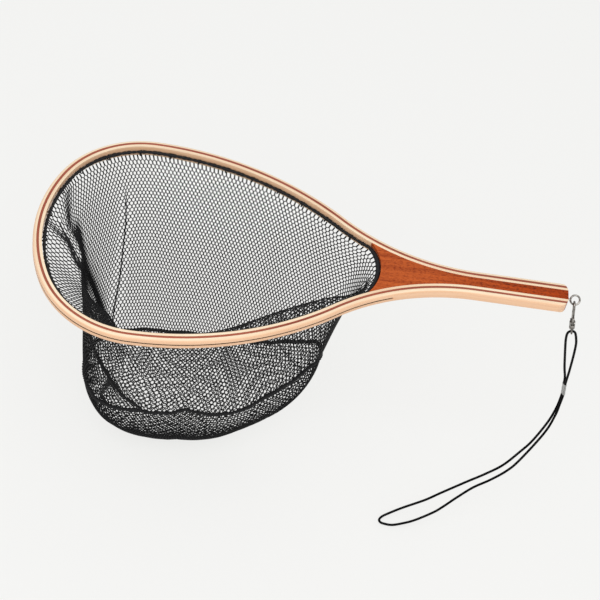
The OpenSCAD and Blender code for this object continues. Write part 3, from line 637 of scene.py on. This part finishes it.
def wall(at, t):
    """The wall under the mouth's point at a share of the way round, t from 0 at the rope to 1 at the seam:
    the plan goes from the mouth's outline to the seam's by the root of t, and the height by t itself. In the
    ledge the netting first runs inwards, dropping half a step for each step, and then falls steeply."""
    spot = (at % 1.0) * mouth_count
    x, y = (np.interp(spot, np.arange(mouth_count + 1), part) for part in mouth_ring.T)
    cloth = t ** (1 / row_power)
    inwards = np.maximum(eased(ledge_run * cloth, ledge_in + (1 - ledge_in) * cloth, ledge_in_ease), 0)
    downwards = -eased(-ledge_drop * cloth, ledge_hang * (1 - cloth) - cloth, ledge_drop_ease)
    drawn = np.sqrt(t) + ledge(at) * (inwards - np.sqrt(t))
    sunk = t + ledge(at) * (downwards - t)
    ruffle = sum(height * np.sin(TURN * (count * at + first)) for height, count, first in foot_ripples)
    foot = foot_height(x) + np.interp(at % 1.0, *foot_bumps) + ruffle
    return np.stack(
        [
            x + drawn * (seam_tip + (x - mouth_tip) * seam_scale[0] - x),
            y + drawn * (y * seam_scale[1] - lean - y),
            bag_top + sunk * (foot - bag_top),
        ],
        axis=-1,
    )


# Folds of the wall, each with a line of (share of the way round, depth), the half width of the netting that
# it draws in, the depth where it starts, and how fully it is drawn in. A start above the rim means that it is
# half drawn there. The last isn't a fold: it spreads the threads apart on both sides of the tip.
folds = (
    (
        (
            (0.066, 0.0), (0.055, 0.017), (0.039, 0.073), (0.03, 0.12), (0.04, 0.3), (0.068, 0.59),
            (0.094, 0.88), (0.1, 1.0),
        ),
        24 * MM, -0.06, 0.65,
    ),
    (
        ((0.0105, 0.0), (0.0075, 0.043), (0.004, 0.083), (-0.015, 0.134), (-0.02, 0.43), (-0.02, 1.0)),
        22 * MM, -0.06, 0.95,
    ),
    (
        ((0.147, 0.0), (0.141, 0.28), (0.134, 0.45), (0.130, 0.58), (0.119, 0.96), (0.118, 1.0)),
        4.5 * MM, 0.08, 1.0,
    ),
    (((0.640, 0.0), (0.619, 0.41), (0.562, 0.86), (0.555, 1.0)), 5 * MM, 0.3, 1.0),
    (
        ((0.935, 0.0), (0.935, 0.42), (0.925, 0.5), (0.872, 0.66), (0.848, 0.83), (0.814, 1.0)),
        30 * MM, 0.3, 1.0,
    ),
    (
        ((0.945, 0.0), (0.945, 0.42), (0.925, 0.55), (0.894, 0.69), (0.898, 0.93), (0.885, 1.0)),
        20 * MM, 0.3, 1.0,
    ),
    (((0.0, 0.0), (0.0, 1.0)), 45 * MM, 0.0, -0.15),
)
fold_growth, foot_narrows = 0.12, 0.34
roll_at, roll_half, roll_in = 0.62, 0.085, 18 * MM
throat_at, roll_start, roll_top, roll_fade = 0.5, 0.06, 0.015, 1.2
# Waves of the slack: their height, how many go round, their turn on the way down, and their start
slack_waves = ((1.0 * MM, 7, 2.2, 0.0), (0.6 * MM, 13, -4.0, 1.0))
slack_swell = 0.7


def gathered(at, t):
    """The wall with its folds and slack. At a fold, threads x half widths from its line move towards it by
    x exp(-x^2) half widths, so they crowd at the line and spread beside it. Slack moves the wall along its
    outward normal: a roll inwards under the near rim by the throat, and waves that are highest half way
    down."""
    shift = np.zeros_like(at)
    for line, reach, start, fully in folds:
        share, depth = np.array(line).T
        grown = np.clip((t - start) / fold_growth, 0, 1)
        width = reach / (mouth_length * (1 - foot_narrows * np.sqrt(t)))
        x = ((at - np.interp(t, depth, share) + 0.5) % 1.0 - 0.5) / width
        shift -= fully * grown * width * x * np.exp(-(x**2))
    roll = np.exp(-(((at - roll_at) / roll_half) ** 2)) * np.clip((at - throat_at) / roll_start, 0, 1)
    roll *= (1 - np.exp(-t / roll_top)) * (1 - t) ** roll_fade
    waves = sum(height * np.sin(TURN * n * at + twist * t + first) for height, n, twist, first in slack_waves)
    lift = -roll_in * roll + waves * np.sin(math.pi * np.clip(t, 0, 1)) ** slack_swell
    return wall(at + shift, t) + lift[..., None] * net_normals(wall, at, t)


def net_normals(surface, at, t, step=0.002):
    """Unit normals of a surface of two parameters, from the cross product of its two slopes."""
    around = surface(at + step, t) - surface(at - step, t)
    down = surface(at, np.clip(t + step, 0, 1)) - surface(at, np.clip(t - step, 0, 1))
    return unit(np.cross(around, down))


closeness = 0.84


def zigzag(thread, row, radius, cell):
    """Where a thread runs, counted in threads: it lies against one neighbour for a row, so close that the two
    merge, crosses over, and lies against the other. Every second thread does the opposite."""
    lean_to = np.array([-1.0, -1.0, 1.0, 1.0])[row % 4]
    opposite = np.where(thread % 2 == 0, 1.0, -1.0)
    return thread + 0.5 + lean_to * opposite * (0.5 - closeness * radius / cell)


def row_places(count):
    """Where the rows lie: two steps where threads lie against each other, one where they cross, and so on."""
    return np.append(0, np.cumsum(np.tile([2.0, 1.0], count)))


bunch_depth, crowd_from, crowd_ease = 0.04, 0.96, 0.01


def row_depth(at, share, bunched):
    """How deep the rows lie, by their share of the netting's rows. They are closer at the top, where the wall
    leans most, and some are bunched under the near rim. Where the wall is shorter than at the tip, the rows
    keep their height and the last are crowded at the seam."""
    depth = share**row_power
    if bunched:
        depth = np.interp(share, [0, bunched, 1], [0, bunch_depth, 1])
    tall = (seam_depth - bag_top) / (foot_height(wall(at, np.zeros_like(at))[..., 0]) - bag_top)
    return np.maximum(eased(tall * depth, crowd_from + (1 - crowd_from) * depth, crowd_ease), 0)


# Each stretch: where it starts and ends, the pitch of its cells, pairs of rows, the share bunched at the rim,
# how much its cells widen towards its end, and how much of its rectangle the tapered cut keeps
stretches = {
    "tip": (-0.16, 0.03, 5.2 * MM, 21, 0, 0, 0.67),
    "far": (0.03, 0.5, 5.1 * MM, 26, 0, 0.12, 0.75),
    "near": (0.5, 0.84, 6.2 * MM, 15, 0.2, 0, 0.68),
}
for stretch, (start, end, cell, pairs, bunched, widening, kept) in stretches.items():
    width = (end - start) * mouth_length
    count = 2 * int(width / cell)
    places = row_places(2 * pairs)
    thread, row = np.arange(count)[:, None], np.arange(len(places))[None, :]
    share = zigzag(thread, row, wall_thread_r, cell) / count
    at = start + (end - start) * (share + widening * (share**3 - share))
    t = row_depth(at, np.broadcast_to(places / places[-1], at.shape), bunched)
    profile = wall_thread_r * spokes(full_turn(3))
    netting = strands("netting_wall_" + stretch, gathered(at, t), net_normals(wall, at, t), profile)
    netting.data.materials.append(black_thread)
    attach(netting, "frame")
    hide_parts("bag_side_netting")

# The bag's bottom is a separate, rounder piece of the same netting, sewn to the wall's foot. It bellies down
# to the floor under its own weight.
floor_z = -337.5 * MM
bottom_thread_r, bottom_cell = 0.73 * MM, 5.5 * MM
bottom_threads, bottom_rows, shortest_thread = np.arange(-96, 97), 118, 4
keel_share, rim_count = 0.41, 720
keel = np.array([seam_tip + keel_share * seam_length, -lean])
rim = wall(np.arange(rim_count) / rim_count, np.ones(rim_count))
rim_off = rim[:, :2] - keel
rim_turn = np.mod(np.arctan2(rim_off[:, 1], rim_off[:, 0]), TURN)
rim_order = np.argsort(rim_turn)


def rim_at(angle, values):
    """A value of the seam's points in a direction seen from the keel."""
    return np.interp(np.mod(angle, TURN), rim_turn[rim_order], values[rim_order], period=TURN)


def rise_from_keel(angle):
    """Turns of a quarter ellipse from the keel to the seam in each direction, and the cloth's length at each
    turn: the sum of steps root of (reach cos)^2 + (fall sin)^2. Also gives the ellipse's reach and fall."""
    reach = rim_at(angle, np.hypot(rim_off[:, 0], rim_off[:, 1]))
    fall = rim_at(angle, rim[:, 2]) - floor_z - bottom_thread_r
    turn = np.linspace(0, quarter_turn, 61)
    step = np.hypot(reach[:, None] * np.cos(turn), fall[:, None] * np.sin(turn)) * turn[1]
    length = np.cumsum(step, axis=1) - step / 2
    length[:, 0] = 0
    return turn, length, reach, fall


def bottom(flat_x, flat_y):
    """The bottom over points of its flat cut: the same direction from the keel, and as far along a quarter
    ellipse that starts level at the keel and stands upright at the seam. Also tells which points are in the
    cut."""
    angle, far = np.arctan2(flat_y, flat_x), np.hypot(flat_x, flat_y)
    turn, length, reach, fall = rise_from_keel(angle)
    after = np.clip((length < far[:, None]).sum(axis=1), 1, len(turn) - 1)
    rows = np.arange(len(far))
    before_length, after_length = length[rows, after - 1], length[rows, after]
    share = np.clip((far - before_length) / (after_length - before_length), 0, 1)
    up = turn[after - 1] + share * turn[1]
    plan = keel + (reach * np.sin(up))[:, None] * spokes(angle)
    height = floor_z + bottom_thread_r + fall * (1 - np.cos(up))
    return np.column_stack([plan, height]), far < length[:, -1]


cell_x = row_places(bottom_rows) * bottom_cell / math.sqrt(3) / 2
cell_x = cell_x - cell_x.mean()
net_points, net_faces, made_points = [], [], 0
for thread in bottom_threads:
    places = zigzag(thread, np.arange(len(cell_x)), bottom_thread_r, bottom_cell)
    path, inside = bottom(cell_x, places * bottom_cell / 2)
    if inside.sum() < shortest_thread:
        continue
    first, last = np.flatnonzero(inside)[[0, -1]]
    path = path[max(first - 1, 0) : last + 2]
    outwards = unit(path - np.array([*keel, seam_depth]))
    grid = carried(path, outwards, bottom_thread_r * spokes(full_turn(3)))
    index = made_points + np.arange(grid[..., 0].size).reshape(grid.shape[:2])
    net_faces += tube_faces(index) + [index[0].tolist(), index[-1, ::-1].tolist()]
    net_points.append(grid.reshape(-1, 3))
    made_points += index.size
bottom_netting = piece("netting_bottom", np.vstack(net_points), net_faces)
bottom_netting.data.materials.append(black_thread)
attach(bottom_netting, "frame")
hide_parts("bag_bottom_netting")

# Two gathered seams close the bag: one round the wall's foot, where the bottom is sewn on, and one down the
# wall from the hoop's tip. Each is the netting's edges, bunched and whipped over with thread.
foot_seam_r, side_seam_r, side_seam_out = 2.6 * MM, 1.2 * MM, 0.8 * MM
foot_wraps, side_wraps, pinch = 170, 60, 0.15
foot_count, side_count = 700, 160
side_seam_start, side_seam_drift, side_seam_top, side_seam_end = 0.03, 0.218, 0.03, 0.98


def whipped(name, solid, path, radius, wraps, normal, ring):
    """A bunched seam along a path: a tube whose radius swells and pinches with each turn of the thread."""
    turn = full_turn(8)
    at = np.linspace(0, 1, len(path), endpoint=not ring)[:, None]
    swell = radius * (1 - pinch + pinch * np.sin(TURN * wraps * at + turn))
    made = skin(name, carried(path, np.array(normal), swell[..., None] * spokes(turn), ring=ring), ring=ring)
    made.data.materials.append(black_thread)
    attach(made, "frame")
    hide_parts(solid)


foot_path = wall(np.arange(foot_count) / foot_count, np.ones(foot_count))
whipped("bottom_seam_whipped", "bag_bottom_seam", foot_path, foot_seam_r, foot_wraps, (0, 0, 1.0), True)
down = np.linspace(side_seam_top, side_seam_end, side_count)
seam_at = side_seam_start - side_seam_drift * down
side_path = wall(seam_at, down) + side_seam_out * net_normals(wall, seam_at, down)
whipped("side_seam_whipped", "bag_side_seam", side_path, side_seam_r, side_wraps, (0, 1.0, 0), False)

# The hardware is nickel plated: a screw eye in the butt, and a swivel clasp of a bent hook, a sprung gate on
# a pin, and a turning eye. The plating is bright, with dull clouds and fine scratches.
metal, place = finish("nickel_plate", Metallic=1.0)
cloud = place.noise(260, 3, 0.5)
scratch = place.scaled(900, 900, 160).noise(1.0, 2, 0.5)
feed(
    metal,
    bump=scratch,
    depth=0.01 * MM,
    Base_Color=cloud.between(0.3, 0.7).blend(tone(170, 166, 160), tone(74, 70, 65)),
    Roughness=cloud * 0.2 + 0.14,
)
for node in ("screw_eye", "clasp_hook", "clasp_gate", "gate_pin", "gate_spring", "swivel_eye"):
    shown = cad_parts[node]
    shown.data.materials.clear()
    shown.data.materials.append(metal)

# The sleeve is a short oval tube of soft aluminium, pressed flat in two places over the four cord ends.
# It leans and is turned a little, as the cords pull it.
sleeve_at, sleeve_length = np.array([91, -3.8, -177]) * MM, 21 * MM
strand_y, sleeve_r, sleeve_lean, sleeve_turn = 1.5 * MM, 1.9 * MM, 3.2 * MM, math.radians(30)
press_at, press_half, press_in = (0.28, 0.72), 0.09, 0.16
lip_at, lip_half, lip_in = (0, 1), 0.035, 0.12
rise, turn = np.linspace(0, 1, 64), full_turn(32)


def pinches(places, half):
    """How much the sleeve is pinched along its length: the sum of exp(-x^2), x half widths from each
    place."""
    return sum(np.exp(-(((rise - place) / half) ** 2)) for place in places)


pinched = 1 - press_in * pinches(press_at, press_half) - lip_in * pinches(lip_at, lip_half)
oval = (sleeve_r * pinched)[:, None, None] * spokes(turn)
oval[..., 1] += strand_y * np.clip(3 * np.sin(turn), -1, 1)
cosine, sine = math.cos(sleeve_turn), math.sin(sleeve_turn)
oval = oval @ np.array([[cosine, sine], [sine, -cosine]])
sleeve_grid = sleeve_at + np.pad(oval, ((0, 0), (0, 0), (0, 1)))
sleeve_grid += ((0.5 - rise)[:, None] * [sleeve_lean, 0, 0] + rise[:, None] * [0, 0, sleeve_length])[:, None]
sleeve = skin("lanyard_crimp_sleeve", sleeve_grid, sharp=60)
aluminium, place = finish("crimped_aluminium", Metallic=1.0)
drawn_lines = place.scaled(1500, 1500, 60).noise(1.0, 3, 0.6)
feed(
    aluminium,
    bump=drawn_lines,
    depth=0.03 * MM,
    Base_Color=drawn_lines.between(0.3, 0.7).blend(tone(188, 188, 186), tone(138, 138, 137)),
    Roughness=drawn_lines * 0.25 + 0.25,
)
sleeve.data.materials.append(aluminium)
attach(sleeve, "swivel")
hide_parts("lanyard_ferrule")

# A plain pale floor lies under the bag. One large soft lamp overhead and an even pale surround light it, and
# where they are looked at, floor and surround show as pale as each other.
floor_half, floor_gap, floor_shown = 6.0, 1 * MM, 0.8
surround_light, surround_shown = 0.7, 0.97
corners = floor_half * np.array([(-1, -1), (1, -1), (1, 1), (-1, 1)])
floor = piece("floor", np.column_stack([corners, np.full(4, floor_z - floor_gap)]), [[0, 1, 2, 3]])
floor_tone = tone(246, 246, 245)
floor_paint, spot = finish("pale_floor", Base_Color=floor_tone, Roughness=0.9, Specular_IOR_Level=0.0)


def looked_at(wire):
    """1 where the camera looks straight at it, or sees it in metal or through glass, and 0 where it only
    lights."""
    kinds = ("Is Camera Ray", "Is Glossy Ray", "Is Transmission Ray")
    straight, mirrored, through = (wire.node("LightPath", None, None, kind) for kind in kinds)
    return wire.math("MINIMUM", straight + mirrored + through, 1.0)


paint_nodes = floor_paint.node_tree.nodes
painted = Wire(floor_paint.node_tree, paint_nodes["Principled BSDF"].outputs[0])
glow = spot.node("Emission", None, {"Color": tone(246, 246, 244), "Strength": 1.0})
mixed = spot.node("MixShader", None, {0: looked_at(spot) * floor_shown, 1: painted, 2: glow})
floor_paint.node_tree.links.new(mixed.socket, paint_nodes["Material Output"].inputs["Surface"])
floor.data.materials.append(floor_paint)

surround = bpy.data.worlds.new("pale_surround")
surround.use_nodes = True
background = surround.node_tree.nodes["Background"]
background.inputs["Color"].default_value = tone(246, 246, 247)
brightness = looked_at(Wire(surround.node_tree)) * (surround_shown - surround_light) + surround_light
surround.node_tree.links.new(brightness.socket, background.inputs["Strength"])
bpy.context.scene.world = surround

lamp = bpy.data.objects.new("softbox", bpy.data.lights.new("softbox", "AREA"))
lamp.data.shape = "RECTANGLE"
lamp.data.size, lamp.data.size_y = 2.4, 1.8
lamp.data.energy = 30
lamp.matrix_world = Matrix.Translation((-0.4, -1.1, 2.0)) @ Matrix.Rotation(math.radians(28), 4, "X")
bpy.context.scene.collection.objects.link(lamp)
